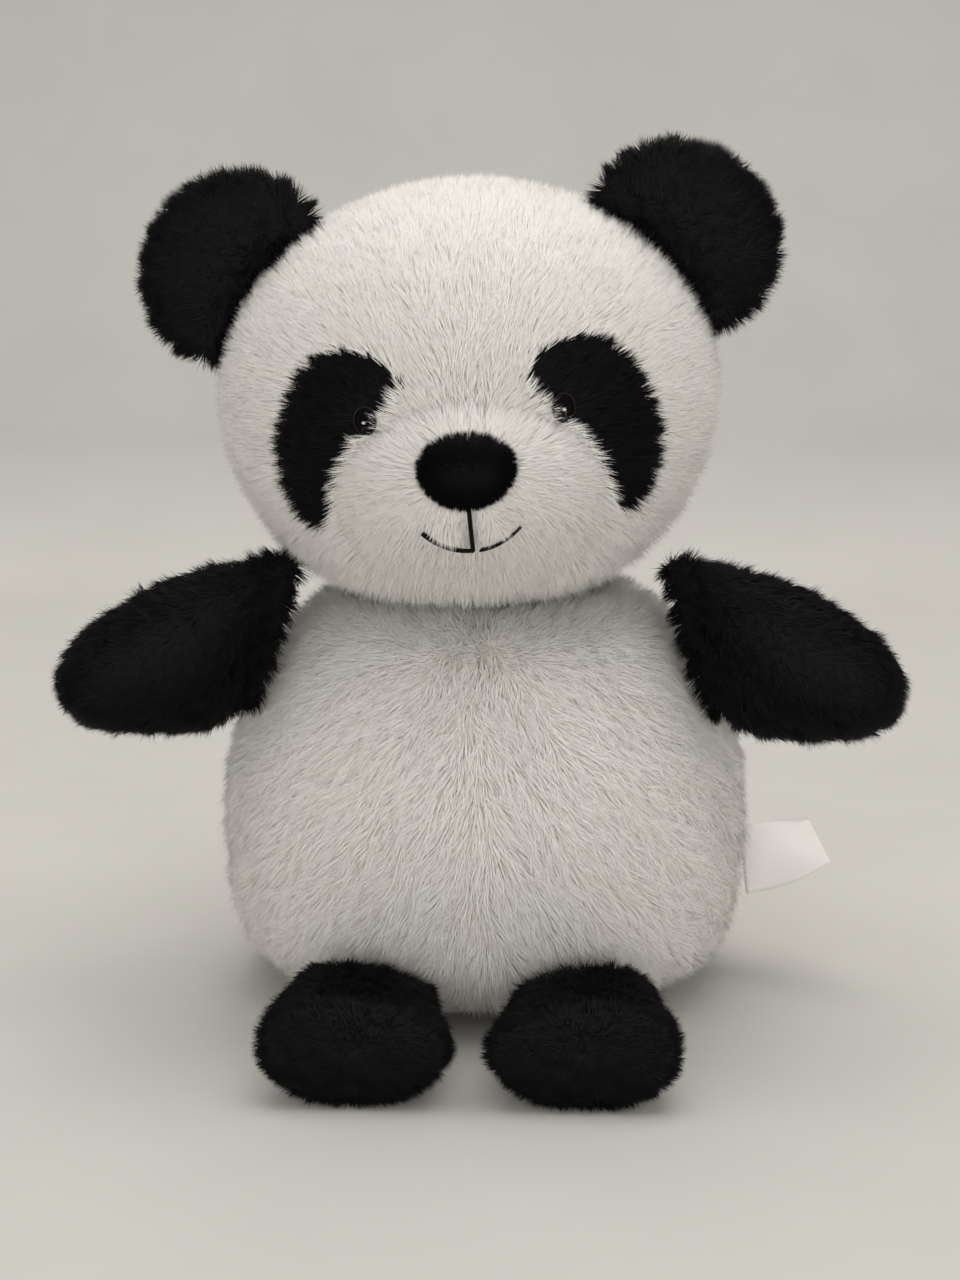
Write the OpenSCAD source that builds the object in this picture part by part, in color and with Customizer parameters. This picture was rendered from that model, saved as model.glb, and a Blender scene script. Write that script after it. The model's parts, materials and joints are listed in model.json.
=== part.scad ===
// Plush panda, sitting: sewn pile-fabric skins over soft filling.
// Millimetres, +Z up, the face looks along -Y, the sitting face is at z = 0.

/* [Body] */
// Width of the body across its fullest part
body_w = 156; // [130:1:200]
// Depth of the body, belly to back
body_d = 132; // [110:1:170]
// Height of the neck seam above the seat
body_h = 120; // [105:1:160]
// Size of the flat seat, as a share of the body width
seat_share = 0.50; // [0.35:0.01:0.65]

/* [Head] */
// Width of the head
head_w = 143; // [120:1:190]
// Depth of the head, without the muzzle
head_d = 118; // [100:1:150]
// Height of the head
head_h = 120; // [100:1:150]
// How far the head is set forward of the body
head_fwd = 8; // [0:1:14]
// Lean of the head to one side, as sewn
head_lean = 4; // [-6:0.5:6]
// Turn of the face to one side, as sewn
head_face = 1.5; // [-6:0.5:6]
// Soft gap between the underside of the head and the neck seam
neck_gap = 9.5; // [7:0.5:13]

/* [Face] */
// Half width of the muzzle panel
muzzle_rx = 35; // [28:1:42]
// Half height of the muzzle panel
muzzle_rz = 26; // [20:1:30]
// Height of the muzzle centre below the head centre
muzzle_drop = 23; // [20:1:30]
// How far the muzzle puffs out
muzzle_puff = 13; // [6:1:18]
// Size of the eye patches against the standard pattern
patch_size = 1.0; // [0.8:0.05:1.1]
// Height of the sewn eyes
eye_h = 8.4; // [6:0.2:11]
// Width of the nose
nose_w = 24.5; // [18:0.5:30]
// Height of the nose
nose_h = 17.5; // [14:0.5:24]
// Width of the sewn smile
smile_w = 26; // [18:1:32]
// Thickness of the mouth thread
thread_d = 1.3; // [0.8:0.1:2]

/* [Ears] */
// Width of an ear across its fullest part
ear_w = 55; // [40:1:62]
// Height of an ear from its seam
ear_h = 28; // [26:1:44]
// Thickness of an ear
ear_t = 12; // [8:1:16]
// Angle of the ears above level
ear_angle = 41; // [35:1:55]

/* [Arms] */
// Length of an arm from its seam
arm_len = 61; // [50:1:82]
// Width of an arm at its seam
arm_root = 50; // [34:1:56]
// Fullest thickness of an arm
arm_t = 31; // [22:1:38]
// Slope of the arms below level
arm_slope = 13; // [5:1:30]
// Height of the middle of the arm seam
arm_z = 113; // [90:0.5:120]
// Lean of the arm seams, tops inward
arm_lean = 19; // [10:1:30]
// How far the arms are set round toward the front
arm_turn = 22; // [0:1:30]

/* [Feet] */
// Width of a foot at the sole
foot_w = 52; // [44:1:64]
// Height of a foot
foot_h = 33; // [30:1:44]
// Length of a foot, heel to sole
foot_len = 46; // [38:1:60]
// Distance between the middles of the feet
feet_span = 61; // [58:1:84]

/* [Label] */
// Length of the sewn-in label, seam to fold
label_len = 27; // [15:1:35]
// Height of the label
label_h = 21; // [12:1:26]
// Height of the middle of the label
label_z = 40; // [30:1:60]

/* [Fabric and fit] */
// Thickness of the pile fabric with its fur pressed
fur_t = 4; // [2.5:0.5:6]
// Gap between the filling and the fabric round it
fill_gap = 0.6; // [0.4:0.1:1.5]
// Gap left at every seam that folds
seam_gap = 0.5; // [0.4:0.1:1]
// Lift of the small trim off the cloth under it
trim_gap = 0.15; // [0.1:0.05:0.3]

/* [Hidden] */

white_fur = [0.93, 0.92, 0.90];
black_fur = [0.07, 0.06, 0.07];
filling_white = [0.97, 0.97, 0.96];
pellet_cloth = [0.85, 0.84, 0.80];
thread_black = [0.05, 0.05, 0.05];
label_white = [0.95, 0.95, 0.94];

// Half width of the body against height, both as shares of the whole.
body_rows = [
  [0.025, 0.350], [0.068, 0.430], [0.125, 0.468], [0.220, 0.489],
  [0.335, 0.498], [0.480, 0.500], [0.605, 0.489], [0.700, 0.464],
  [0.790, 0.428], [0.870, 0.390], [0.930, 0.350], [0.973, 0.304],
  [1.000, 0.245]
];
body_steps = concat([0], [for (r = body_rows) r[0]]);
first_row = body_rows[0][0];
neck_share = body_rows[len(body_rows) - 1][1];
seat_r = seat_share * body_w / 2;
tuck = 8;

// The standard cut of an eye patch, on a head of the standard width and height:
// across and up from the head centre.
cut_w = 143;
cut_h = 120;
patch_cut = [
  [32, 19], [24.5, 17.5], [19, 13.5], [16.5, 8.5], [18.5, 3.5],
  [24, -1], [29, -5.5], [34.5, -14], [37.5, -25], [40, -29.5],
  [43.5, -30.5], [48.5, -26.5], [52, -17.5], [52.5, -7],
  [49.5, 3.5], [44.5, 12.5], [38.5, 17.5]
];
patch_mid = [37, -3];
eye_mid = [26.5 * head_w / cut_w, 0.5];
nose_mid = [0, -13];
smile_drop = 6;
smile_top = -29;
lip_top = -23;

neck_r = neck_share * body_w;
neck_open = neck_r * body_d / body_w - fur_t;
head_a = head_w / 2;
head_b = head_d / 2;
head_c = head_h / 2;
// Rise of the head's underside at the edge of the neck, at the sides and in front.
side_rise = head_c * (1 - sqrt(1 - pow(neck_r / head_a, 2)));
front_rise = head_c * (1 - sqrt(1 - pow((neck_share * body_d - head_fwd) / head_b, 2)));
// The front may come this much closer to the shoulders than the sides do.
nod_room = 4;
neck_rise = min(side_rise, front_rise + nod_room);
head_low = body_h + neck_gap - neck_rise;
head_z = head_low + head_c;

foot_pivot_y = -foot_root_y();
sole_round = 5;
sole_y = foot_pivot_y - (foot_len - foot_h / 2) + sole_round * 0.08;
// The whole model is set back or forward so that its box is centred on Y.
back_y = body_d / 2;
set_y = -(sole_y + back_y) / 2;

turn_steps = 12;

// ---------- shared shapes ----------

function flat(rows) = [for (r = rows) for (p = r) p];
function lerp(a, b, t) = a + (b - a) * t;
// Drops the empty triangles where a row shrinks to a point.
function clean(tris, pts) = [
  for (t = tris)
    if (pts[t[0]] != pts[t[1]] && pts[t[1]] != pts[t[2]] && pts[t[0]] != pts[t[2]]) t
];
function quad(a, b, c, d) = [[a, b, c], [a, c, d]];

// A sewn panel: an outer and an inner grid with walls all round.
module panel(outer, inner) {
  m = len(outer);
  n = len(outer[0]);
  k = m * n;
  pts = concat(flat(outer), flat(inner));
  tris = concat(
    [for (i = [0:m - 2]) for (j = [0:n - 2])
      each quad(i * n + j, i * n + j + 1, (i + 1) * n + j + 1, (i + 1) * n + j)],
    [for (i = [0:m - 2]) for (j = [0:n - 2])
      each quad(k + i * n + j, k + (i + 1) * n + j, k + (i + 1) * n + j + 1, k + i * n + j + 1)],
    [for (j = [0:n - 2])
      each quad(j, k + j, k + j + 1, j + 1)],
    [for (j = [0:n - 2])
      each quad((m - 1) * n + j, (m - 1) * n + j + 1, k + (m - 1) * n + j + 1, k + (m - 1) * n + j)],
    [for (i = [0:m - 2])
      each quad(i * n, (i + 1) * n, k + (i + 1) * n, k + i * n)],
    [for (i = [0:m - 2])
      each quad(i * n + n - 1, k + i * n + n - 1, k + (i + 1) * n + n - 1, (i + 1) * n + n - 1)]
  );
  polyhedron(points = pts, faces = clean(tris, pts), convexity = 6);
}

// A closed cushion through a stack of rings, with flat or pointed ends.
module cushion(rings) {
  m = len(rings);
  n = len(rings[0]);
  pts = concat(flat(rings), [middle(rings[0]), middle(rings[m - 1])]);
  tris = concat(
    [for (i = [0:m - 2]) for (j = [0:n - 1])
      each quad(i * n + j, i * n + (j + 1) % n, (i + 1) * n + (j + 1) % n, (i + 1) * n + j)],
    [for (j = [0:n - 1]) [m * n, (j + 1) % n, j]],
    [for (j = [0:n - 1]) [m * n + 1, (m - 1) * n + j, (m - 1) * n + (j + 1) % n]]
  );
  polyhedron(points = pts, faces = clean(tris, pts), convexity = 4);
}

function middle(ring) = [for (a = [0:2]) sum([for (p = ring) p[a]]) / len(ring)];
function sum(v, i = 0) = i < len(v) ? v[i] + sum(v, i + 1) : 0;

// ---------- body ----------

// The seat sets the lowest ring, and the rest swells from it.
function body_half(t) =
  t < first_row ? lerp(seat_r, body_w * body_rows[0][1], t / first_row) : body_w * lookup(t, body_rows);
function body_point(t, turn, inset) =
  let (half = body_half(t), deep = half * body_d / body_w)
  [(half - inset) * sin(turn), body_tuck(t) - (deep - inset) * cos(turn), lerp(inset, body_h, t)];
// Under the belly the body is drawn back a little, to sit behind the feet.
function body_tuck(t) = tuck * pow(max(0, 1 - t / 0.3), 2);

module body_quarter(from, to) {
  turns = [for (j = [0:turn_steps]) lerp(from, to, j / turn_steps)];
  translate([0, set_y, 0])
    panel(
      [for (t = body_steps) [for (a = turns) body_point(t, a, 0)]],
      [for (t = body_steps) [for (a = turns) body_point(t, a, fur_t)]]
    );
}

module body_core(low, high) {
  inset = fur_t + fill_gap;
  rows = concat([low], [for (t = body_steps) if (t > low + 0.02 && t < high - 0.02) t], [high]);
  translate([0, set_y, 0])
    cushion([for (t = rows) [for (j = [0:3 * turn_steps - 1])
      body_point(t, 360 * j / (3 * turn_steps), inset)]]);
}

module belly_left() {
  color(white_fur) body_quarter(-90, 0);
}

module belly_right() {
  color(white_fur) body_quarter(0, 90);
}

module back_right() {
  color(white_fur) body_quarter(90, 180);
}

module back_left() {
  color(white_fur) body_quarter(180, 270);
}

module seat_panel() {
  count = 4 * turn_steps;
  color(white_fur)
    translate([0, set_y, 0])
      cushion([
        [for (j = [0:count - 1]) body_point(0, 360 * j / count, 0)],
        [for (j = [0:count - 1]) body_point(0, 360 * j / count, fur_t)]
      ]);
}

pouch_top = 0.24;

module pellet_pouch() {
  color(pellet_cloth) body_core(0.006, pouch_top);
}

// The stuffing fills the body up to the neck and leaves a well for the neck plug.
module body_filling() {
  color(filling_white)
    difference() {
      body_core(pouch_top + 0.008, 0.985);
      translate([0, set_y, neck_base - seam_gap])
        cylinder(h = body_h, r = neck_plug_r + seam_gap, $fn = 48);
    }
}

// ---------- neck ----------

neck_base = lerp(fur_t + fill_gap, body_h, 0.90) + seam_gap;
neck_plug_r = neck_open - fill_gap - seam_gap;
neck_top = head_low - seam_gap - 1.2;

module neck_filling() {
  color(filling_white)
    translate([0, set_y, neck_base])
      cylinder(h = neck_top - neck_base, r = neck_plug_r, $fn = 48);
}

// ---------- head ----------

// Everything on the head is drawn round its centre and set in place once.
module on_head() {
  translate([0, set_y, body_h])
    rotate([0, -head_lean, 0])
      translate([0, -head_fwd, head_z - body_h])
        rotate([0, 0, head_face])
          children();
}

function head_point(turn, up, inset) = [
  (head_a - inset) * cos(up) * sin(turn),
  -(head_b - inset) * cos(up) * cos(turn),
  (head_c - inset) * sin(up)
];
head_ups = [-72, -60, -48, -36, -24, -12, 0, 12, 24, 36, 48, 60, 72, 82, 90];

module head_sector(from, to, count) {
  turns = [for (j = [0:count]) lerp(from, to, j / count)];
  panel(
    [for (u = head_ups) [for (a = turns) head_point(a, u, 0)]],
    [for (u = head_ups) [for (a = turns) head_point(a, u, fur_t)]]
  );
}

// Depth of the front of the head at a place across and up.
function face_y(x, z, inset) =
  -(head_b - inset) * sqrt(max(0.001,
    1 - pow(x / (head_a - inset), 2) - pow(z / (head_c - inset), 2)));
function muzzle_y(x, z, inset) =
  let (s = min(1, pow(x / muzzle_rx, 2) + pow((z + muzzle_drop) / muzzle_rz, 2)))
  face_y(x, z, inset) - muzzle_puff * pow(1 - s, 0.8);

function muzzle_edge(count) = [
  for (j = [0:count - 1])
    [muzzle_rx * sin(360 * j / count), muzzle_rz * cos(360 * j / count) - muzzle_drop]
];
// A patch grows with the head, and never reaches in under the muzzle.
patch_off = 1.5;
function off_muzzle(p) =
  let (
    up = p[1] + muzzle_drop,
    share = sqrt(pow(p[0] / (muzzle_rx + patch_off), 2) + pow(up / (muzzle_rz + patch_off), 2))
  )
  share >= 1 ? p : [p[0] / share, up / share - muzzle_drop];
function patch_edge(side) = [
  for (c = patch_cut)
    let (p = off_muzzle([
      (patch_mid[0] + (c[0] - patch_mid[0]) * patch_size) * head_w / cut_w,
      (patch_mid[1] + (c[1] - patch_mid[1]) * patch_size) * head_h / cut_h]))
    [side * p[0], p[1]]
];
muzzle_count = 36;

// Punches the shape of a sewn-in piece through the front of the face.
module punch(edge) {
  rotate([90, 0, 0])
    linear_extrude(height = head_d)
      polygon(edge);
}

module gusset() {
  grow = head_w / cut_w;
  punch([for (p = [
    [-13, 0], [13, 0], [19, 18], [27, 40], [30, head_c + 4],
    [-30, head_c + 4], [-27, 40], [-19, 18]
  ]) [p[0] * grow, p[1]]]);
}

module forehead() {
  color(white_fur)
    on_head()
      difference() {
        intersection() {
          head_sector(-90, 90, 2 * turn_steps);
          gusset();
        }
        punch(muzzle_edge(muzzle_count));
      }
}

module cheek(side) {
  color(white_fur)
    on_head()
      difference() {
        head_sector(side > 0 ? 0 : -90, side > 0 ? 90 : 0, turn_steps);
        gusset();
        punch(muzzle_edge(muzzle_count));
        punch(patch_edge(side));
      }
}

module cheek_left() {
  cheek(-1);
}

module cheek_right() {
  cheek(1);
}

module head_back_right() {
  color(white_fur) on_head() head_sector(90, 180, turn_steps);
}

module head_back_left() {
  color(white_fur) on_head() head_sector(180, 270, turn_steps);
}

module head_filling() {
  inset = fur_t + fill_gap;
  count = 3 * turn_steps;
  color(filling_white)
    on_head()
      cushion([for (u = [-88, -72, -54, -36, -18, 0, 18, 36, 54, 72, 88])
        [for (j = [0:count - 1]) head_point(360 * j / count, u, inset)]]);
}

// A piece laid in the face: rings shrink from its edge to its middle.
function face_rows(edge, mid, shares) = [
  for (s = shares) [for (j = [0:len(edge)])
    let (p = edge[j % len(edge)])
    [lerp(mid[0], p[0], s), lerp(mid[1], p[1], s)]]
];
inset_shares = [1, 0.92, 0.78, 0.62, 0.45, 0.28, 0.12, 0];

module muzzle() {
  rows = face_rows(muzzle_edge(muzzle_count), [0, -muzzle_drop], inset_shares);
  color(white_fur)
    on_head()
      closed_patch(
        [for (r = rows) [for (p = r) [p[0], muzzle_y(p[0], p[1], 0), p[1]]]],
        [for (r = rows) [for (p = r) [p[0], muzzle_y(p[0], p[1], fur_t), p[1]]]]
      );
}

// Like panel, but each row runs round and the last row is one point.
module closed_patch(outer, inner) {
  m = len(outer);
  n = len(outer[0]) - 1;
  k = m * n;
  pts = concat(
    [for (r = outer) for (j = [0:n - 1]) r[j]],
    [for (r = inner) for (j = [0:n - 1]) r[j]]
  );
  tris = concat(
    [for (i = [0:m - 2]) for (j = [0:n - 1])
      each quad(i * n + j, i * n + (j + 1) % n, (i + 1) * n + (j + 1) % n, (i + 1) * n + j)],
    [for (i = [0:m - 2]) for (j = [0:n - 1])
      each quad(k + i * n + j, k + (i + 1) * n + j,
        k + (i + 1) * n + (j + 1) % n, k + i * n + (j + 1) % n)],
    [for (j = [0:n - 1])
      each quad(j, k + j, k + (j + 1) % n, (j + 1) % n)]
  );
  polyhedron(points = pts, faces = clean(tris, pts), convexity = 6);
}

module eye_patch(side) {
  mid = [patch_mid[0] * head_w / cut_w, patch_mid[1] * head_h / cut_h];
  rows = face_rows(patch_edge(1), off_muzzle(mid), inset_shares);
  color(black_fur)
    on_head()
      mirror([side > 0 ? 0 : 1, 0, 0])
        closed_patch(
          [for (r = rows) [for (p = r) [p[0], face_y(p[0], p[1], 0), p[1]]]],
          [for (r = rows) [for (p = r) [p[0], face_y(p[0], p[1], fur_t), p[1]]]]
        );
}

module eye_patch_left() {
  eye_patch(-1);
}

module eye_patch_right() {
  eye_patch(1);
}

// A small raised trim piece on a surface, domed toward its middle.
module trim(edge, mid, rise, lift) {
  rows = face_rows(edge, mid, [1, 0.94, 0.8, 0.55, 0.25, 0]);
  domes = [0.35, 0.62, 0.85, 0.96, 1, 1];
  closed_patch(
    [for (i = [0:len(rows) - 1]) [for (p = rows[i])
      [p[0], trim_y(p) - lift - rise * domes[i], p[1]]]],
    [for (r = rows) [for (p = r) [p[0], trim_y(p) - lift, p[1]]]]
  );
}
function trim_y(p) = min(face_y(p[0], p[1], 0), muzzle_y(p[0], p[1], 0));

module eye(side) {
  edge = [for (j = [0:23])
    [eye_mid[0] + 0.42 * eye_h * sin(15 * j), eye_mid[1] + eye_h / 2 * cos(15 * j)]];
  color(thread_black)
    on_head()
      mirror([side > 0 ? 0 : 1, 0, 0])
        trim(edge, eye_mid, 0.8, trim_gap);
}

module eye_left() {
  eye(-1);
}

module eye_right() {
  eye(1);
}

module nose() {
  count = 36;
  edge = [for (j = [0:count - 1])
    let (a = 360 * j / count)
    [nose_w / 2 * sin(a) * (1 + 0.11 * cos(a)), nose_mid[1] + nose_h / 2 * cos(a)]];
  color(black_fur) on_head() trim(edge, nose_mid, 4.2, trim_gap);
}

// A thread laid over the muzzle through a few places.
module laid_thread(places) {
  sides = 8;
  lift = thread_d / 2 + 2 * trim_gap;
  path = [for (p = places) [p[0], trim_y(p) - lift, p[1]]];
  n = len(path);
  cushion([for (i = [0:n - 1])
    let (
      run = path[min(i + 1, n - 1)] - path[max(i - 1, 0)],
      ahead = run / norm(run),
      out = [0, -1, 0],
      side = cross(ahead, out) / norm(cross(ahead, out)),
      up = cross(side, ahead)
    )
    [for (j = [0:sides - 1])
      path[i] + thread_d / 2 * (cos(360 * j / sides) * side + sin(360 * j / sides) * up)]]);
}

module mouth_thread() {
  reach = smile_w / 2;
  steps = 8;
  color(thread_black)
    on_head() {
      laid_thread([for (i = [0:5]) [0, lerp(lip_top, smile_top - smile_drop - 0.4, i / 5)]]);
      for (side = [-1, 1])
        laid_thread([for (i = [0:steps])
          let (t = i / steps)
          [side * lerp(thread_d * 0.9, reach, t), smile_top - smile_drop * (1 - pow(t, 2.2))]]);
    }
}

// ---------- ears ----------

ear_y = -6;
// The seam of an ear touches the head where the surface faces its angle.
ear_turn = atan(head_c / head_a * tan(ear_angle));
ear_shrink = sqrt(1 - pow(ear_y / head_b, 2));
ear_seat = [head_a * ear_shrink * cos(ear_turn), head_c * ear_shrink * sin(ear_turn)];
ear_root_r = 4.5;
ear_lift = ear_root_r + seam_gap;

module on_ear(side) {
  on_head()
    mirror([side > 0 ? 0 : 1, 0, 0])
      translate([ear_seat[0], ear_y, ear_seat[1]])
        rotate([0, 90 - ear_angle, 0])
          translate([0, 0, ear_lift])
            children();
}

// Outline of an ear, from one end of its seam over the top to the other.
ear_steps = 16;
function ear_rim(j) =
  let (a = -118 + 236 * j / ear_steps, low = ear_h * 0.11)
  [ear_w / 2 * sin(a), low + (ear_h - low) * cos(a)];

module ear_half(front) {
  shares = [1, 0.97, 0.88, 0.72, 0.5, 0.25, 0];
  swell = [0.12, 0.42, 0.7, 0.9, 1, 1, 1];
  mid = [0, ear_h * 0.42];
  rows = face_rows(ear_outline(), mid, shares);
  mirror([0, front ? 0 : 1, 0])
    closed_patch(
      [for (i = [0:len(rows) - 1]) [for (p = rows[i])
        [p[0], -swell[i] * lerp(ear_root_r, ear_t / 2, min(1, max(0, p[1]) / 12)), p[1]]]],
      [for (i = [0:len(rows) - 1]) [for (p = rows[i]) [p[0], -0.02, p[1]]]]
    );
}
// Runs over the top and closes along the seam, which bows to fit the head.
function ear_outline() =
  let (rim = [for (j = [0:ear_steps]) ear_rim(j)], end = rim[ear_steps])
  concat(rim, [for (j = [1:7])
    let (x = 1 - j / 4) [end[0] * x, lerp(-ear_root_r * 0.85, end[1], x * x)]]);

module ear_front_left() {
  color(black_fur) on_ear(-1) ear_half(true);
}

module ear_back_left() {
  color(black_fur) on_ear(-1) ear_half(false);
}

module ear_front_right() {
  color(black_fur) on_ear(1) ear_half(true);
}

module ear_back_right() {
  color(black_fur) on_ear(1) ear_half(false);
}

// ---------- arms ----------

arm_low_z = arm_z - arm_root / 2 * cos(arm_lean);
arm_high_z = min(body_h, arm_z + arm_root / 2 * cos(arm_lean));
arm_root_r = 6;
arm_x = arm_seat_x();

// The seam stands just clear of the fullest point of the body beside it.
function arm_seat_x() =
  max([for (z = [arm_low_z:3:arm_high_z])
    body_half(z / body_h) + (z - arm_z) * tan(arm_lean)]) + (arm_root_r + seam_gap) / cos(arm_lean);

module on_arm(side) {
  mirror([side > 0 ? 0 : 1, 0, 0])
    translate([0, set_y, 0])
      rotate([0, 0, -arm_turn])
        translate([arm_x, 0, arm_z])
          rotate([0, -arm_lean, 0])
            children();
}

arm_stations = [0, 0.04, 0.12, 0.24, 0.38, 0.52, 0.66, 0.78, 0.88, 0.95, 0.985, 1];
arm_halves = [
  [0, 0.97], [0.12, 0.98], [0.24, 0.96], [0.38, 0.93], [0.52, 0.86], [0.66, 0.77],
  [0.78, 0.66], [0.88, 0.53], [0.95, 0.37], [0.985, 0.21], [1, 0.09]
];
arm_thicks = [
  [0, 0.40], [0.04, 0.46], [0.12, 0.66], [0.24, 0.88], [0.38, 1.0], [0.52, 1.0], [0.66, 0.95],
  [0.78, 0.86], [0.88, 0.70], [0.95, 0.49], [0.985, 0.28], [1, 0.12]
];
arm_bend = arm_slope + arm_lean;

// Each ring turns from lying along the seam to standing square on the arm.
function arm_ring(t, inset, turns) =
  let (
    reach = max(arm_root / 2 * lookup(t, arm_halves) - inset, 0.4),
    deep = max((t <= 0 ? arm_root_r : arm_t / 2 * lookup(t, arm_thicks)) - inset, 0.4),
    out = lerp(inset, arm_len - inset, t),
    lean = arm_bend * min(1, t / 0.45)
  )
  [for (a = turns) [
    out * cos(arm_bend) + reach * cos(a) * sin(lean),
    -deep * sin(a),
    -out * sin(arm_bend) + reach * cos(a) * cos(lean)]];
// The root is a round edge along the seam, so the arm can swing about it.
function arm_root_ring(a0, inset, turns) =
  [for (a = turns) [
    -(arm_root_r - inset) * cos(a0),
    -(arm_root_r - inset) * sin(a0) * sin(a),
    arm_root / 2 * 0.97 * cos(a) * (0.90 + 0.10 * sin(a0))]];

function arm_rings(inset, turns) = concat(
  [for (a0 = [12, 35, 62]) arm_root_ring(a0, inset, turns)],
  [for (t = arm_stations) arm_ring(t, inset, turns)]
);

module arm_side(front) {
  turns = [for (j = [0:turn_steps]) lerp(0, 180, j / turn_steps)];
  mirror([0, front ? 0 : 1, 0])
    panel(arm_rings(0, turns), arm_rings(fur_t * 0.7, turns));
}

module arm_core() {
  turns = [for (j = [0:2 * turn_steps - 1]) 360 * j / (2 * turn_steps)];
  inset = fur_t * 0.7 + fill_gap;
  cushion([for (t = [0.03, 0.12, 0.24, 0.38, 0.52, 0.66, 0.78, 0.88, 0.95]) arm_ring(t, inset, turns)]);
}

module arm_front_left() {
  color(black_fur) on_arm(-1) arm_side(true);
}

module arm_back_left() {
  color(black_fur) on_arm(-1) arm_side(false);
}

module arm_filling_left() {
  color(filling_white) on_arm(-1) arm_core();
}

module arm_front_right() {
  color(black_fur) on_arm(1) arm_side(true);
}

module arm_back_right() {
  color(black_fur) on_arm(1) arm_side(false);
}

module arm_filling_right() {
  color(filling_white) on_arm(1) arm_core();
}

// ---------- feet ----------

heel_r = foot_h / 2;
// The heel is round about its own middle and rests just off the body.
function foot_root_y() =
  max([for (t = [0.02:0.02:0.5])
    let (
      z = t * body_h,
      half = body_half(t),
      side = min(1, (feet_span / 2 - foot_w * 0.20) / half),
      front = half * body_d / body_w * sqrt(1 - side * side) - body_tuck(t),
      up = abs(z - foot_h / 2)
    )
    up < foot_h / 2 ? front + sqrt(pow(foot_h / 2 + seam_gap, 2) - up * up) : 0]);

module on_foot(side) {
  mirror([side > 0 ? 0 : 1, 0, 0])
    translate([feet_span / 2, set_y + foot_pivot_y, foot_h / 2])
      children();
}

foot_front = foot_len - foot_h / 2;
// Distance forward of the heel middle, half width, half height.
function foot_ring(f, inset, count) =
  let (
    wide = foot_w / 2 * foot_wide(f) - inset,
    high = foot_h / 2 - inset
  )
  [for (j = [0:count - 1])
    let (a = 360 * j / count, c = cos(a), across = round_box(sin(a)), up = round_box(c))
    [wide * across, -f, high * up * foot_slant(across, up)]];
function round_box(s) = sign(s) * pow(abs(s), 2 / foot_square);
// The top of a foot slopes down toward the other foot, and its lower corners
// are drawn up, the inner one most.
function foot_slant(across, up) = up > 0
  ? 0.79 + 0.21 * across
  : 1 - 0.34 * pow(max(0, -across), 3) - 0.10 * pow(max(0, across), 3);
function foot_wide(f) = lookup(f / foot_front, [[0, 0.80], [0.35, 0.92], [0.7, 1.0], [1, 0.99]]);
function heel_ring(a0, inset, count) =
  let (
    wide = foot_w / 2 * 0.80 - inset,
    high = foot_h / 2 - inset
  )
  [for (j = [0:count - 1])
    let (a = 360 * j / count, across = round_box(sin(a)), up = round_box(cos(a)))
    [wide * across * (0.72 + 0.28 * sin(a0)),
      high * cos(a0), high * sin(a0) * up * foot_slant(across, up)]];
foot_count = 32;
foot_square = 2.4;

function foot_shell(inset) = concat(
  [for (a0 = [4, 25, 50, 72]) heel_ring(a0, inset, foot_count)],
  [for (f = [0, 0.35, 0.7, 0.9]) foot_ring(f * (foot_front - sole_round), inset, foot_count)]
);
function sole_rings(inset, front) = [
  foot_ring(foot_front - sole_round, inset, foot_count),
  [for (p = foot_ring(foot_front - sole_round, inset, foot_count))
    [p[0] * 0.97, -(front - sole_round * 0.45), p[2] * 0.95]],
  [for (p = foot_ring(foot_front - sole_round, inset, foot_count))
    [p[0] * 0.86, -(front - sole_round * 0.08), p[2] * 0.80]]
];

module foot_upper() {
  outer = concat(foot_shell(0), [foot_ring(foot_front - sole_round, 0, foot_count)]);
  inner = concat(foot_shell(fur_t), [foot_ring(foot_front - sole_round, fur_t, foot_count)]);
  tube(outer, inner);
}

// A sewn tube closed at its first end: rings run round, the last is open.
module tube(outer, inner) {
  m = len(outer);
  n = len(outer[0]);
  k = m * n;
  pts = concat(flat(outer), flat(inner), [middle(outer[0]), middle(inner[0])]);
  tris = concat(
    [for (i = [0:m - 2]) for (j = [0:n - 1])
      each quad(i * n + j, i * n + (j + 1) % n, (i + 1) * n + (j + 1) % n, (i + 1) * n + j)],
    [for (i = [0:m - 2]) for (j = [0:n - 1])
      each quad(k + i * n + j, k + (i + 1) * n + j,
        k + (i + 1) * n + (j + 1) % n, k + i * n + (j + 1) % n)],
    [for (j = [0:n - 1])
      each quad((m - 1) * n + j, (m - 1) * n + (j + 1) % n,
        k + (m - 1) * n + (j + 1) % n, k + (m - 1) * n + j)],
    [for (j = [0:n - 1]) [2 * k, (j + 1) % n, j]],
    [for (j = [0:n - 1]) [2 * k + 1, k + j, k + (j + 1) % n]]
  );
  polyhedron(points = pts, faces = clean(tris, pts), convexity = 6);
}

module foot_upper_left() {
  color(black_fur) on_foot(-1) foot_upper();
}

module foot_upper_right() {
  color(black_fur) on_foot(1) foot_upper();
}

module sole() {
  cushion(sole_rings(0, foot_front));
}

module foot_sole_left() {
  color(black_fur) on_foot(-1) sole();
}

module foot_sole_right() {
  color(black_fur) on_foot(1) sole();
}

module foot_core() {
  inset = fur_t + fill_gap;
  cushion(concat(
    [for (a0 = [4, 40, 72]) heel_ring(a0, inset, foot_count)],
    [for (f = [0, 0.5]) foot_ring(f * (foot_front - sole_round), inset, foot_count)],
    [foot_ring(foot_front - sole_round - fill_gap, inset, foot_count)]
  ));
}

module foot_filling_left() {
  color(filling_white) on_foot(-1) foot_core();
}

module foot_filling_right() {
  color(filling_white) on_foot(1) foot_core();
}

// ---------- label ----------

label_t = 0.8;
label_x = body_half(label_z / body_h) + seam_gap + 0.4;

module side_label() {
  color(label_white)
    translate([label_x, set_y - label_t / 2, label_z - label_h / 2])
      cube([label_len, label_t, label_h]);
}

// ---------- the assembly ----------

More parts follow.
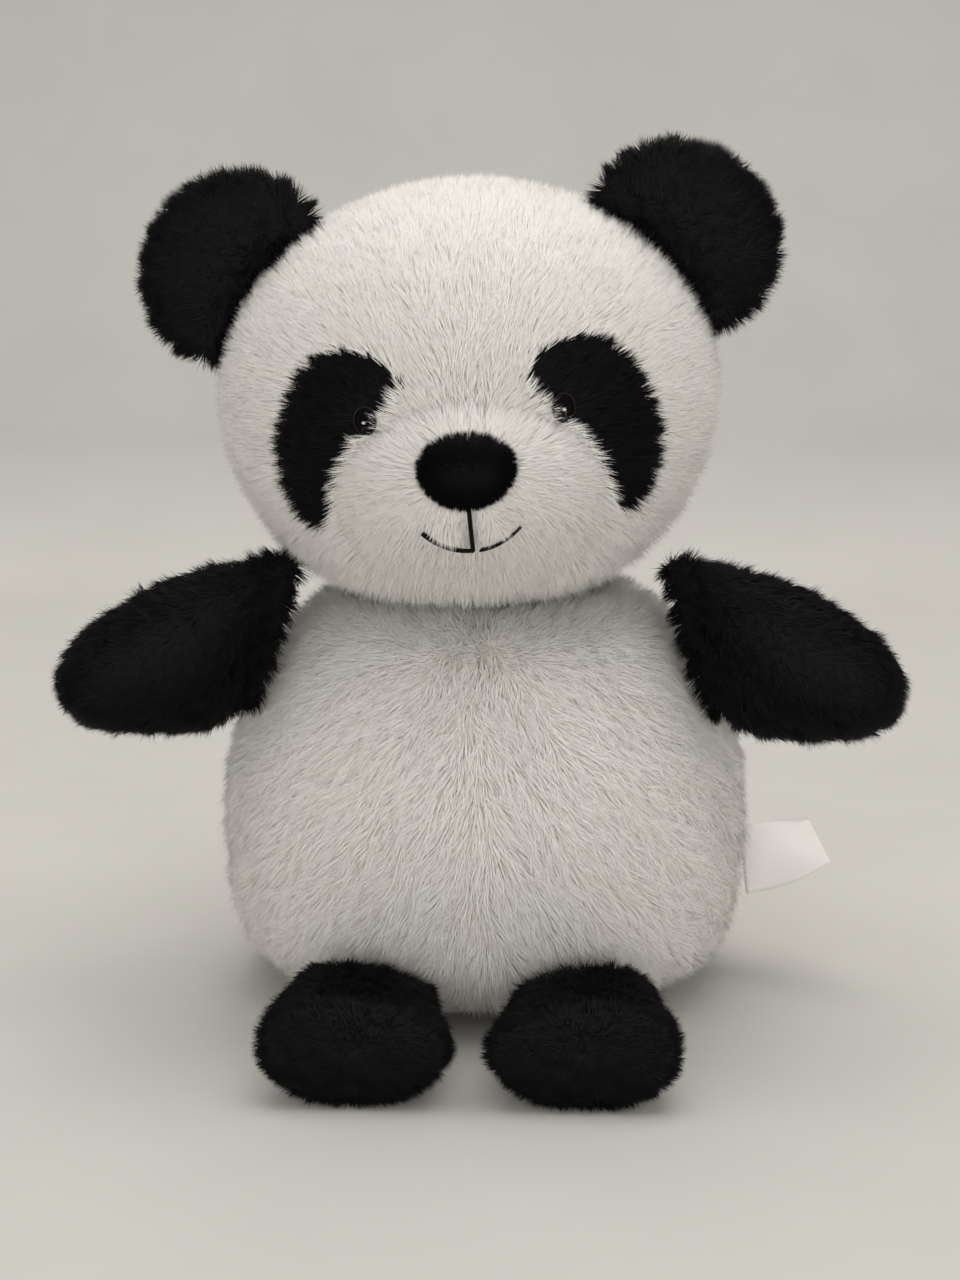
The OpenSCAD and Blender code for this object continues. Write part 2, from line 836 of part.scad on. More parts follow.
belly_left();
belly_right();
back_left();
back_right();
seat_panel();
body_filling();
pellet_pouch();
neck_filling();
forehead();
cheek_left();
cheek_right();
muzzle();
head_back_left();
head_back_right();
head_filling();
eye_patch_left();
eye_patch_right();
eye_left();
eye_right();
nose();
mouth_thread();
ear_front_left();
ear_back_left();
ear_front_right();
ear_back_right();
arm_front_left();
arm_back_left();
arm_filling_left();
arm_front_right();
arm_back_right();
arm_filling_right();
foot_upper_left();
foot_sole_left();
foot_filling_left();
foot_upper_right();
foot_sole_right();
foot_filling_right();
side_label();
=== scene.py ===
"""Looks of the sitting plush panda: cloth, pile, stitched face, ribbon label, floor and light."""

import json
import math

import bmesh
import bpy
import numpy as np
from mathutils import Matrix, Vector
from mathutils.bvhtree import BVHTree


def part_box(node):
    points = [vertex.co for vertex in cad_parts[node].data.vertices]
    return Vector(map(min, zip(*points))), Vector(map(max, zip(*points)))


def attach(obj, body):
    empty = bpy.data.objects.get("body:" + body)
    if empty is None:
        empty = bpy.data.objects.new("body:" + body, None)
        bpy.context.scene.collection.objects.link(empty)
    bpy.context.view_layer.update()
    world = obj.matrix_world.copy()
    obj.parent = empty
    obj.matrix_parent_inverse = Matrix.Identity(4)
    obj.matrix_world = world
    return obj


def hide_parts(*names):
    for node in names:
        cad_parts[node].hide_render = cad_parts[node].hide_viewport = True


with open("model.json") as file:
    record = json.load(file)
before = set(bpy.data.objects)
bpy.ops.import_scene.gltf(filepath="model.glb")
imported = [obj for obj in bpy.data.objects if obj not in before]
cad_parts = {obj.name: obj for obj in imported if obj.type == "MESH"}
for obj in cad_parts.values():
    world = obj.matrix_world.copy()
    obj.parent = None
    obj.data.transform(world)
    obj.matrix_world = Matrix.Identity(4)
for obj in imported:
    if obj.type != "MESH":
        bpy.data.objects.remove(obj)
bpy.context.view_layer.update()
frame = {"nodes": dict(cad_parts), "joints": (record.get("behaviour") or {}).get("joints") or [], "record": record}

MM = 0.001
SET_Y = 19.565 * MM  # the body's middle line, front to back
NECK_SEAM = 120.0  # height of the neck seam, in mm
HEAD_RISE = 60.208  # from the neck seam up to the head's middle
HEAD_WIDE, HEAD_DEEP, HEAD_HIGH = 71.5, 59, 60  # half sizes of the head, in mm
MUZZLE_WIDE, MUZZLE_HIGH, MUZZLE_DROP, MUZZLE_PUFF = 35, 26, 23, 13
SMILE_REACH, SMILE_TOP, SMILE_DROP = 13, -29, 6  # half width, height of its ends, and its sag
SIDES = ("left", "right")
BODIES = frame["record"]["behaviour"]["bodies"]
BODY_OF = {node: body for body, nodes in BODIES.items() for node in nodes}


# ---------------------------------------------------------------- materials


def linear(hex_colour):
    """A paint-chart sRGB colour as the linear values that light is worked out in."""
    parts = [int(hex_colour[i : i + 2], 16) / 255 for i in (1, 3, 5)]
    return [p / 12.92 if p <= 0.04045 else ((p + 0.055) / 1.055) ** 2.4 for p in parts] + [1.0]


def new_material(name):
    """A fresh material, with its node tree and its surface shader."""
    material = bpy.data.materials.new(name)
    material.use_nodes = True
    tree = material.node_tree
    surface = next(n for n in tree.nodes if n.type == "BSDF_PRINCIPLED")
    return material, tree, surface


def add(tree, kind, settings=None, **links):
    """Adds one node; links maps an input's name (or _number) to a value or to another node's output."""
    node = tree.nodes.new(kind)
    for key, value in (settings or {}).items():
        setattr(node, key, value)
    for key, value in links.items():
        socket = node.inputs[int(key[1:])] if key[0] == "_" else node.inputs[key]
        if isinstance(value, bpy.types.NodeSocket):
            tree.links.new(value, socket)
        else:
            socket.default_value = value
    return node


def ramp(tree, factor, stops):
    """A colour ramp; stops are (place, hex colour)."""
    node = add(tree, "ShaderNodeValToRGB", _0=factor)
    while len(node.color_ramp.elements) < len(stops):
        node.color_ramp.elements.new(0.5)
    for element, (place, colour) in zip(node.color_ramp.elements, stops):
        element.position = place
        element.color = linear(colour)
    return node.outputs["Color"]


def object_place(tree):
    return add(tree, "ShaderNodeTexCoord").outputs["Object"]


def mixed(tree, factor, a, b, how="MIX"):
    """Two colours mixed; a and b are outputs or linear colours."""
    node = add(tree, "ShaderNodeMix", {"data_type": "RGBA", "blend_type": how})
    for number, value in ((0, factor), (6, a), (7, b)):
        if isinstance(value, bpy.types.NodeSocket):
            tree.links.new(value, node.inputs[number])
        else:
            node.inputs[number].default_value = value
    return node.outputs[2]


def pile_material(
    name, root, tip, tints, roughness, sheen, sheen_tint, drift=22, tint_share=0.35, gleam=0.2
):
    """Plush pile: each fibre's colour is painted darker at its root, as shade deep among the fibres near the
    cloth; tints drift slowly over the cloth, and single fibres differ."""
    material, tree, surface = new_material(name)
    fibre = add(tree, "ShaderNodeUVMap", {"uv_map": "fibre"}).outputs["UV"]
    split = add(tree, "ShaderNodeSeparateXYZ", _0=fibre)
    # painted shade: along each fibre the colour runs from the darker root colour up to the tip colour, standing
    # for shade deep in the pile
    along = ramp(tree, split.outputs["Y"], [(0.0, root), (0.62, tip), (1.0, tip)])
    one = ramp(tree, split.outputs["X"], tints)
    slow = add(
        tree, "ShaderNodeTexNoise", Vector=object_place(tree), Scale=1 / (drift * MM), Detail=2.0
    )
    share = add(tree, "ShaderNodeMath", {"operation": "MULTIPLY"}, _0=slow.outputs[0], _1=tint_share * 2)
    colour = mixed(tree, share.outputs[0], along, one, "MULTIPLY")
    tree.links.new(colour, surface.inputs["Base Color"])
    surface.inputs["Roughness"].default_value = roughness
    surface.inputs["Specular IOR Level"].default_value = gleam
    surface.inputs["Sheen Weight"].default_value = sheen
    surface.inputs["Sheen Roughness"].default_value = 0.45
    surface.inputs["Sheen Tint"].default_value = linear(sheen_tint)
    return material


def knit_material(name, dark, light, roughness=0.9, pitch=0.9):
    """Backing cloth: a warp knit, its loops under a millimetre across, seen only where the pile parts."""
    material, tree, surface = new_material(name)
    loops = add(
        tree,
        "ShaderNodeTexWave",
        {"wave_type": "BANDS", "bands_direction": "DIAGONAL"},
        Vector=object_place(tree),
        Scale=0.5 / (pitch * MM),
        Distortion=1.5,
    )
    colour = ramp(tree, loops.outputs["Fac"], [(0.0, dark), (1.0, light)])
    tree.links.new(colour, surface.inputs["Base Color"])
    surface.inputs["Roughness"].default_value = roughness
    return material


# White pile is bright polyester; its colour is painted a little darker and creamier towards the cloth, as shade
# deep in the pile, and brightest at the tips, as painted light coming through them.
white_pile = pile_material(
    "white polyester pile",
    "#efeae3",
    "#fdfbf8",
    [(0.0, "#f4ede5"), (0.35, "#f9f4ee"), (0.7, "#ffffff"), (1.0, "#f5eeec")],
    0.75,
    0.25,
    "#fffaf5",
)
# Black pile is dope-dyed; its colour is painted darkest at the root, as shade among the fibres, and a faint
# purple-brown at the ends, as painted sheen.
black_pile = pile_material(
    "black polyester pile",
    "#010101",
    "#050408",
    [(0.0, "#b8a8a8"), (0.5, "#ffffff"), (1.0, "#9c94b0")],
    0.5,
    0.0,
    "#8d88a0",
    tint_share=0.3,
    gleam=0.18,
)
# The nose is cut from a velvet with a dense, short, upright pile; its colour is painted darker at the root, as
# shade among the fibres.
nose_pile = pile_material(
    "black velvet pile",
    "#010101",
    "#060406",
    [(0.0, "#b0a0a4"), (1.0, "#ffffff")],
    0.5,
    0.0,
    "#8d8496",
    tint_share=0.3,
    gleam=0.08,
)
white_backing = knit_material("white knitted backing", "#e4ded6", "#f3efe9")
black_backing = knit_material("black knitted backing", "#020202", "#060508")


def thread_material(name, dark, light, roughness=0.5):
    """Satin-stitch thread: trilobal polyester, glossy along its length, with fine laid filaments."""
    material, tree, surface = new_material(name)
    filament = add(
        tree, "ShaderNodeTexNoise", Vector=object_place(tree), Scale=1 / (0.35 * MM), Detail=3.0
    )
    colour = ramp(tree, filament.outputs[0], [(0.3, dark), (0.7, light)])
    tree.links.new(colour, surface.inputs["Base Color"])
    surface.inputs["Roughness"].default_value = roughness
    surface.inputs["Specular IOR Level"].default_value = 0.12
    return material


black_thread = thread_material("black satin-stitch thread", "#010101", "#050405")
brown_thread = thread_material("brown satin-stitch thread", "#211a1b", "#3d3232")
red_brown_thread = thread_material("red-brown satin-stitch thread", "#0c0606", "#1d0f10")
white_thread = thread_material("white satin-stitch thread", "#c8c4bf", "#f3f0ec")


def stuffing_material():
    """Crimped hollow-fibre stuffing: matt white wads, with soft grey patches painted in as shade in the hollows
    between them.
    """
    material, tree, surface = new_material("hollow-fibre stuffing")
    wads = add(
        tree, "ShaderNodeTexNoise", Vector=object_place(tree), Scale=1 / (6 * MM), Detail=6.0
    )
    # painted shade: the darker grey end of the ramp stands for shade in the hollows between wads
    colour = ramp(tree, wads.outputs[0], [(0.3, "#c9c7c4"), (0.6, "#f2f1ee")])
    tree.links.new(colour, surface.inputs["Base Color"])
    surface.inputs["Roughness"].default_value = 1.0
    return material


def weave_material(name, low, high, pitch, roughness):
    """Plain-woven cloth: two thread directions crossing at the stated pitch in millimetres."""
    material, tree, surface = new_material(name)
    place = object_place(tree)
    threads = [
        add(
            tree,
            "ShaderNodeTexWave",
            {"wave_type": "BANDS", "bands_direction": side},
            Vector=place,
            Scale=0.5 / (pitch * MM),
            Distortion=0.3,
        ).outputs["Fac"]
        for side in ("X", "Z")
    ]
    both = add(tree, "ShaderNodeMath", {"operation": "MULTIPLY"}, _0=threads[0], _1=threads[1])
    colour = ramp(tree, both.outputs[0], [(0.0, low), (0.8, high)])
    tree.links.new(colour, surface.inputs["Base Color"])
    bump = add(tree, "ShaderNodeBump", Height=both.outputs[0], Strength=0.25, Distance=0.05 * MM)
    tree.links.new(bump.outputs["Normal"], surface.inputs["Normal"])
    surface.inputs["Roughness"].default_value = roughness
    return material


stuffing = stuffing_material()
# The pellet pouch is plain calico.
pouch_cotton = weave_material("unbleached calico", "#b8ae9c", "#dcd4c4", 0.6, 0.9)
# The label is a fine satin ribbon, so its weave shows only as a soft gleam.
label_satin = weave_material("white satin ribbon", "#dedbd7", "#f6f4f1", 0.35, 0.45)


# ---------------------------------------------------------------- cloth panels


def node_mesh(node):
    """The CAD node's solid as welded points (n, 3) and triangles (m, 3), in metres."""
    mesh = bmesh.new()
    mesh.from_mesh(frame["nodes"][node].data)
    bmesh.ops.remove_doubles(mesh, verts=mesh.verts, dist=0.01 * MM)
    bmesh.ops.triangulate(mesh, faces=mesh.faces)
    mesh.verts.ensure_lookup_table()
    points = np.array([v.co for v in mesh.verts])
    faces = np.array([[v.index for v in f.verts] for f in mesh.faces])
    mesh.free()
    return points, faces


MESHES = {node: node_mesh(node) for node in frame["nodes"]}


def tree_of(nodes):
    """A search tree over several nodes' faces."""
    points, faces, start = [], [], 0
    for node in nodes:
        p, f = MESHES[node]
        points.append(p)
        faces.append(f + start)
        start += len(p)
    return BVHTree.FromPolygons(
        [Vector(p) for p in np.vstack(points)], [tuple(f) for f in np.vstack(faces)], epsilon=0.0
    )


TREES = {body: tree_of(nodes) for body, nodes in BODIES.items()}


def face_normals(points, faces):
    """Unit normals and areas of the triangles."""
    a, b, c = (points[faces[:, i]] for i in range(3))
    cross = np.cross(b - a, c - a)
    size = np.linalg.norm(cross, axis=1)
    return cross / np.maximum(size, 1e-15)[:, None], size / 2


def outside_faces(node):
    """Which faces of a node show on the outside of its own stuffed form."""
    points, faces = MESHES[node]
    normals, _ = face_normals(points, faces)
    tree = TREES[BODY_OF[node]]
    middles = points[faces].mean(1)
    return np.array(
        [
            tree.ray_cast(Vector(m + n * 0.15 * MM), Vector(n), 0.4)[0] is None
            for m, n in zip(middles, normals)
        ]
    )


OUTSIDE = {}


def outside(node):
    """The faces found by outside_faces, worked out once for each node."""
    if node not in OUTSIDE:
        OUTSIDE[node] = outside_faces(node)
    return OUTSIDE[node]


def soft_normals(points, faces, shown):
    """Normals at the points, averaged over the shown faces by area."""
    normals, area = face_normals(points, faces)
    total = np.zeros_like(points)
    for corner in range(3):
        np.add.at(total, faces[shown][:, corner], normals[shown] * area[shown][:, None])
    size = np.linalg.norm(total, axis=1)
    total[size > 0] /= size[size > 0][:, None]
    return total, size > 0


def seam_points(points, faces, shown):
    """Points every 1.5 mm along the edge of the shown faces, where the panel is sewn."""
    edges = {}
    for face in faces[shown]:
        for i in range(3):
            key = tuple(sorted((face[i], face[(i + 1) % 3])))
            edges[key] = edges.get(key, 0) + 1
    out = []
    for (i, j), uses in edges.items():
        if uses == 1:
            count = max(2, int(np.linalg.norm(points[i] - points[j]) / (1.5 * MM)))
            out.append(points[i] + (points[j] - points[i]) * np.linspace(0, 1, count)[:, None])
    return np.vstack(out) if out else np.zeros((0, 3))


def nearest(places, targets):
    """Distance from each place to its nearest target."""
    if not len(targets):
        return np.full(len(places), 1.0)
    out = np.empty(len(places))
    for i in range(0, len(places), 2000):
        part = places[i : i + 2000]
        out[i : i + 2000] = np.sqrt(
            ((part[:, None, :] - targets[None, :, :]) ** 2).sum(2).min(1)
        )
    return out


def link(name, mesh):
    """A new object in the scene that shows the mesh."""
    obj = bpy.data.objects.new(name, mesh)
    bpy.context.collection.objects.link(obj)
    return obj


def mesh_from(name, points, faces):
    """A mesh from points and faces of any number of corners."""
    mesh = bpy.data.meshes.new(name)
    mesh.from_pydata([tuple(p) for p in points], [], [tuple(f) for f in faces])
    mesh.update()
    return mesh


def rounded(name, points, faces, levels=1):
    """A closed mesh rounded over like stuffed cloth, as an object."""
    obj = link(name, mesh_from(name, points, faces))
    modifier = obj.modifiers.new("rounding", "SUBSURF")
    modifier.levels = levels
    modifier.render_levels = levels
    bpy.context.view_layer.update()
    final = bpy.data.meshes.new_from_object(obj.evaluated_get(bpy.context.evaluated_depsgraph_get()))
    obj.modifiers.clear()
    obj.data = final
    final.name = name
    final.shade_smooth()
    return obj


def cloth_panel(node, material, depth=2.6, pinch=1.0, puff=None):
    """A panel's backing cloth: its face lies below the pile and is pulled in along the seams."""
    points, faces = MESHES[node]
    shown = outside(node)
    normals, has = soft_normals(points, faces, shown)
    seam = nearest(points, seam_points(points, faces, shown))
    pull = depth + pinch * np.exp(-((seam / (3 * MM)) ** 2))
    moved = points.copy()
    if puff is not None:
        pull = pull - puff(points)
    moved[has] -= normals[has] * pull[has][:, None] * MM
    obj = rounded(node + "_cloth", moved, faces)
    obj.data.materials.append(material)
    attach(obj, BODY_OF[node])
    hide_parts(node)
    return obj


def inner_wad(node, material, shrink=0.5, lumps=0.5):
    """Stuffing or a pouch inside a form: the CAD shape, a little slack and lumpy, and never outside it."""
    points, faces = MESHES[node]
    normals, _ = soft_normals(points, faces, np.ones(len(faces), bool))
    wave = drift(points, 9 * MM, 3)[:, 0]
    moved = points - normals * (shrink + lumps * (0.5 + 0.5 * np.clip(wave, -1, 1)))[:, None] * MM
    obj = rounded(node + "_inner", moved, faces)
    obj.data.materials.append(material)
    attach(obj, BODY_OF[node])
    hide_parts(node)
    return obj


# ---------------------------------------------------------------- pile


def unit(v):
    return v / np.maximum(np.linalg.norm(v, axis=-1, keepdims=True), 1e-12)


def drift(places, size, seed, waves=26):
    """A smooth wandering vector field of about the stated size; fibres that follow it gather in tufts."""
    dice = np.random.default_rng(seed)
    direction = unit(dice.normal(size=(waves, 3)))
    k = direction * (2 * math.pi / size) * dice.uniform(0.6, 1.5, (waves, 1))
    turn = dice.uniform(0, 2 * math.pi, waves)
    strength = np.sin(places @ k.T + turn)
    return (strength @ direction) * (2.2 / math.sqrt(waves))


def scatter(points, faces, shown, normals, count, dice):
    """Even random places on the shown faces, with the smooth normal at each."""
    pick = faces[shown]
    _, area = face_normals(points, pick)
    chosen = np.searchsorted(np.cumsum(area) / area.sum(), dice.random(count))
    chosen = np.minimum(chosen, len(pick) - 1)
    a, b = dice.random(count), dice.random(count)
    flip = a + b > 1
    a[flip], b[flip] = 1 - a[flip], 1 - b[flip]
    weights = np.stack([1 - a - b, a, b], 1)[:, :, None]
    corners = pick[chosen]
    return (points[corners] * weights).sum(1), unit((normals[corners] * weights).sum(1))


SPIKE = np.array([[0, 1, 3], [1, 2, 3], [2, 0, 3], [2, 1, 0]])
BENT = np.array(
    [
        [0, 1, 4], [0, 4, 3], [1, 2, 5], [1, 5, 4], [2, 0, 3], [2, 3, 5],
        [3, 4, 6], [4, 5, 6], [5, 3, 6], [2, 1, 0],
    ]
)  # fmt: skip


def three_round(ahead, normal):
    """Three directions spaced round a fibre that points ahead."""
    side = unit(np.cross(ahead, normal))
    up = np.cross(ahead, side)
    angle = np.array([0, 2, 4]) * math.pi / 3 + math.pi / 2
    return side[:, None, :] * np.cos(angle)[None, :, None] + up[:, None, :] * np.sin(angle)[None, :, None]


def fibre_mesh(name, root, middle, tip, width, normal, shade, share):
    """Tapered three-sided fibres in one mesh, each a closed spike; those with no middle are straight.
    The fibre map holds a random number across and root to tip along, and the bake map gives each
    fibre its own cell."""
    n = len(root)
    first = unit((tip if middle is None else middle) - root)
    low = three_round(first, normal)
    rows, own, along = [root[:, None, :] + low * width[:, None, None]], [low], [0, 0, 0]
    last = first
    if middle is not None:
        last = unit(tip - middle)
        high = three_round(last, normal)
        rows.append(middle[:, None, :] + high * width[:, None, None] * 0.72)
        own.append(high)
        along += [0.5, 0.5, 0.5]
    points = np.concatenate(rows + [tip[:, None, :]], 1)
    points[:, :, 2] = np.maximum(points[:, :, 2], 0.3 * MM)  # pressed flat where the panda sits
    own = np.concatenate(own + [last[:, None, :]], 1)
    one = SPIKE if middle is None else BENT
    each = points.shape[1]
    faces = (one[None] + each * np.arange(n)[:, None, None]).reshape(-1, 3)
    mesh = bpy.data.meshes.new(name)
    mesh.vertices.add(each * n)
    mesh.vertices.foreach_set("co", points.astype(np.float32).ravel())
    mesh.loops.add(faces.size)
    mesh.loops.foreach_set("vertex_index", faces.astype(np.int32).ravel())
    mesh.polygons.add(len(faces))
    mesh.polygons.foreach_set("loop_start", np.arange(0, faces.size, 3, dtype=np.int32))
    mesh.update(calc_edges=True)
    mesh.polygons.foreach_set("use_smooth", np.ones(len(faces), bool))
    along = np.array(along + [1.0])
    across = np.array([0, 0.5, 1] * (each // 3) + [0.5])
    fibre = np.empty((n, each, 2))
    fibre[:, :, 0] = shade[:, None]
    fibre[:, :, 1] = along
    cells = math.ceil(math.sqrt(n))
    cell = np.stack([np.arange(n) % cells, np.arange(n) // cells], 1)[:, None, :]
    spot = np.stack([0.1 + 0.8 * across, 0.1 + 0.8 * along], 1)[None]
    bake = (cell + spot) / cells
    for map_name, values in (("fibre", fibre), ("OFBake", bake)):
        layer = mesh.uv_layers.new(name=map_name)
        layer.data.foreach_set(
            "uv", values.reshape(-1, 2)[faces.ravel()].astype(np.float32).ravel()
        )
    soft = unit(own * share + normal[:, None, :])
    mesh.normals_split_custom_set_from_vertices(soft.reshape(-1, 3).astype(np.float32))
    return mesh


MOST_FACES = 196000  # in one piece of pile


def pile(
    node, material, slot, flow, length, fine=4.5, bent=0.8, width=0.16, lift=0.45, root_lift=0.8,
    tip_lift=0.22, depth=3.0, tuft=0.25, tuft_size=5.0, stray=0.16, clear=None, stand=None,
    puff=None, seam_dip=0.35, own=0.18,
):  # fmt: skip
    """The pile on one panel: fine straight fibres, and fewer bent ones over them, so many per
    square mm. flow(places, normals) is the way the nap lies; length in mm may be a function of place.
    clear(places) is 1 where the pile keeps its length and towards 0 where it is trimmed short;
    stand(places) adds to its lift off the cloth, and puff(places) is how far the cloth swells
    there, in mm."""
    points, faces = MESHES[node]
    shown = outside(node)
    normals, _ = soft_normals(points, faces, shown)
    _, area = face_normals(points, faces[shown])
    square_mm = area.sum() / MM**2
    seam_line = seam_points(points, faces, shown)[::2]
    dice = np.random.default_rng(1000 + sorted(BODY_OF).index(node))
    for layer, density, per in (("fine", fine, 4), ("long", bent, 10)):
        total = int(square_mm * density)
        parts = math.ceil(total * per / MOST_FACES)
        for part in range(parts):
            count = total // parts
            root, normal = scatter(points, faces, shown, normals, count, dice)
            if puff is not None:
                root = root + normal * puff(root)[:, None] * MM
            root = root - normal * depth * MM
            seam = nearest(root, seam_line)
            extra = 0 if stand is None else stand(root)
            short = 1 - seam_dip * np.exp(-((seam / (3.5 * MM)) ** 2))
            size = (length(root) if callable(length) else np.full(count, float(length))) * short
            if clear is not None:
                size = size * clear(root)
            size = size * dice.uniform(0.72, 1.12, count) * MM
            nap = flow(root, normal)
            nap = nap + drift(root, 16 * MM, 11) * stray * 1.3 + drift(root, 1.2 * MM, 12) * stray
            nap = nap + dice.normal(0, stray * 0.5, (count, 3))
            nap = unit(nap - (nap * normal).sum(1, keepdims=True) * normal)
            gather = drift(root, tuft_size * MM, 6) * tuft
            gather -= (gather * normal).sum(1, keepdims=True) * normal * 0.6

            def lean_to(angle, spread, pull):
                up = np.minimum(angle + extra, 1.45) + dice.normal(0, spread, count)
                return unit(nap * np.cos(up)[:, None] + normal * np.sin(up)[:, None] + gather * pull)

            if layer == "fine":
                middle = None
                tip = root + lean_to(lift, 0.13, 0.8) * size[:, None]
            else:
                middle = root + lean_to(root_lift, 0.07, 0.4) * (size * 0.5)[:, None]
                tip = middle + lean_to(tip_lift, 0.08, 1.0) * (size * 0.5)[:, None]
            thick = width * MM * dice.uniform(0.7, 1.25, count)
            shade = 0.5 + 0.25 * drift(root, 2.5 * MM, 21)[:, 0] + dice.normal(0, 0.15, count)
            name = f"{node}_pile_{layer}" + (f"_{part + 1}" if parts > 1 else "")
            obj = link(name, fibre_mesh(name, root, middle, tip, thick, normal, np.clip(shade, 0, 1), own))
            obj.data.materials.append(material)
            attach(obj, BODY_OF[node])


# ---------------------------------------------------------------- where the nap lies


# The head leans a little to one side, and looks a little to the left.
LEAN = np.array(Matrix.Rotation(math.radians(-4), 3, "Y"))
FACE = np.array(Matrix.Rotation(math.radians(1.5), 3, "Z"))
HEAD_SET = np.array([0, -8, HEAD_RISE]) * MM
HEAD_PIVOT = np.array([0, SET_Y, NECK_SEAM * MM])


def head_place(x, y, z):
    """A place given in the head's own millimetres, in the whole toy's frame."""
    return LEAN @ (FACE @ np.array([x, y, z]) * MM + HEAD_SET) + HEAD_PIVOT


def in_head(places):
    """Places in the whole toy's frame, in the head's own millimetres."""
    return ((places - HEAD_PIVOT) @ LEAN - HEAD_SET) @ FACE / MM


MUZZLE_HUB = head_place(0, -66, -14)
CROWN = head_place(0, 8, 60)


def face_flow(places, normals):
    """The face's nap runs out from the muzzle in every direction."""
    low = np.clip((-in_head(places)[:, 2] - 20) / 25, 0, 1)[:, None]
    return unit(places - MUZZLE_HUB) + low * np.array([0, 0, -0.5])


def head_back_flow(places, normals):
    """The back of the head is combed down from the crown."""
    away = unit(places - CROWN)
    return away + np.array([0, 0.2, -0.8])


def belly_flow(places, normals):
    """The belly's nap runs down, and parts to each side of the front seam."""
    across = places[:, 0] / (60 * MM)
    out = 0.75 * across + 0.4 * np.tanh(places[:, 0] / (6 * MM))
    return np.stack([out, np.zeros(len(places)), -np.ones(len(places))], 1)


def back_flow(places, normals):
    """The back is combed down and a little outward."""
    return np.tile([0.0, 0.0, -1.0], (len(places), 1)) + 0.25 * unit(
        (places - [0, SET_Y, 0]) * [1, 1, 0]
    )


def seat_flow(places, normals):
    """Under the seat the nap runs outward."""
    return unit((places - [0, SET_Y, 0]) * [1, 1, 0] + 1e-9)


def arm_flow(side):
    """An arm's nap runs out to its tip."""
    lean = math.radians(23)
    along = np.array([side * math.cos(lean), 0, -math.sin(lean)])

    def flow(places, normals):
        return along + np.array([0, 0, -0.15])

    return flow


def ear_root(side):
    """Where the nap of an ear starts: a little way in from its middle."""
    points = np.vstack([MESHES["ear_front_" + side][0], MESHES["ear_back_" + side][0]])
    low = points.mean(0)
    return low + (head_place(0, 0, 0) - low) * 0.35


def ear_flow(side):
    """An ear's nap runs out to its rim."""
    hub = ear_root(side)

    def flow(places, normals):
        return unit(places - hub)

    return flow


def foot_flow(side):
    """A foot's nap runs from the ankle to the toe."""
    points = MESHES["foot_upper_" + side][0]
    ankle = points.mean(0) + np.array([0, 0.03, 0.018])

    def flow(places, normals):
        return unit(places - ankle) + np.array([0, -0.3, -0.1])

    return flow


def sole_flow(side):
    """A sole's nap runs out from its middle."""
    middle = MESHES["foot_sole_" + side][0].mean(0)

    def flow(places, normals):
        return unit((places - middle) * [1, 0, 1] + [0, 0, 1e-6]) + [0, 0, 0.1]

    return flow


# Where stitches and the nose lie, the pile round them is trimmed.
EYES = [head_place(side * 26.5, -55.5, 0.5) for side in (-1, 1)]
NOSE = head_place(0, -70, -13)


def smile_line():
    """The mouth: a short drop from the nose, and a curve that rises on both sides.
    In the head's (x, z) mm."""

    def curve(start, end, count):
        return [
            (SMILE_REACH * t, SMILE_TOP - SMILE_DROP * (1 - abs(t) ** 2.2))
            for t in np.linspace(start, end, count)
        ]

    drop = [(0, z) for z in np.linspace(-21.4, -35.2, 12)]
    return drop, curve(-1, -0.04, 21), curve(0.16, 1, 19)


def muzzle_face(x, z):
    """How far forward the muzzle's cloth stands at (x, z), in the head's mm."""
    left_over = max(0.001, 1 - (x / HEAD_WIDE) ** 2 - (z / HEAD_HIGH) ** 2)
    share = min(1.0, (x / MUZZLE_WIDE) ** 2 + ((z + MUZZLE_DROP) / MUZZLE_HIGH) ** 2)
    return -HEAD_DEEP * math.sqrt(left_over) - MUZZLE_PUFF * (1 - share) ** 0.8


MOUTH = np.array([head_place(x, muzzle_face(x, z), z) for line in smile_line() for x, z in line])


def face_clear(places):
    """Trimmed short over the mouth's stitches and round the nose and eyes, and left long on the jaw."""
    from_mouth = nearest(places, MOUTH) / MM
    keep = 1 - 0.86 * np.exp(-((from_mouth / 2.4) ** 2))
    keep *= 1 - 0.5 * np.exp(-((from_mouth / 6.5) ** 2))
    from_nose = nearest(places, np.array([NOSE]))
    keep *= 1 - 0.45 * np.exp(-((from_nose / (12.5 * MM)) ** 4))
    from_eye = nearest(places, np.array(EYES))
    above = np.clip((in_head(places)[:, 2] + 2.5) / 2, 0, 1)
    keep *= 1 - 0.65 * above * np.exp(-((from_eye / (4.4 * MM)) ** 4))
    low = np.clip((-in_head(places)[:, 2] - 24) / 18, 0, 1)
    return keep * (1 + 0.5 * low)


PATCHES = np.vstack([MESHES["eye_patch_" + side][0][::2] for side in SIDES])


def white_clear(places):
    """White pile is shorter next to the black patches too, so they keep their shape."""
    return face_clear(places) * (1 - 0.6 * np.exp(-((nearest(places, PATCHES) / (4.5 * MM)) ** 2)))


def lip_swell(x, z):
    """How far the lips swell at (x, z), in the head's mm: one on each side of the stitched drop."""
    return sum(2.6 * np.exp(-(((x - s * 6.5) / 4.6) ** 2) - ((z + 27) / 3.6) ** 2) for s in (-1, 1))


def bridge_puff(places):
    """Stuffing fills the crease over the seam between the muzzle and the forehead."""
    x, _, z = in_head(places).T
    return 1.7 * np.exp(-((x / 15) ** 2) - ((z - 4) / 4.5) ** 2)


def lip_puff(places):
    """The swell of the lips over the smile, less the hollows that its stitches draw in
    along it and under it."""
    x, _, z = in_head(places).T
    chin = 1.8 * np.exp(-((x / 14) ** 2) - ((z + 39.5) / 4) ** 2)
    hollow = 0.8 * np.exp(-((nearest(places, MOUTH) / (1.6 * MM)) ** 2))
    return lip_swell(x, z) - chin - hollow + bridge_puff(places)


def near_neck(places):
    """The pile stands up where the head rests on the shoulders."""
    return 0.7 * np.clip((places[:, 2] / MM - (NECK_SEAM - 16)) / 12, 0, 1)


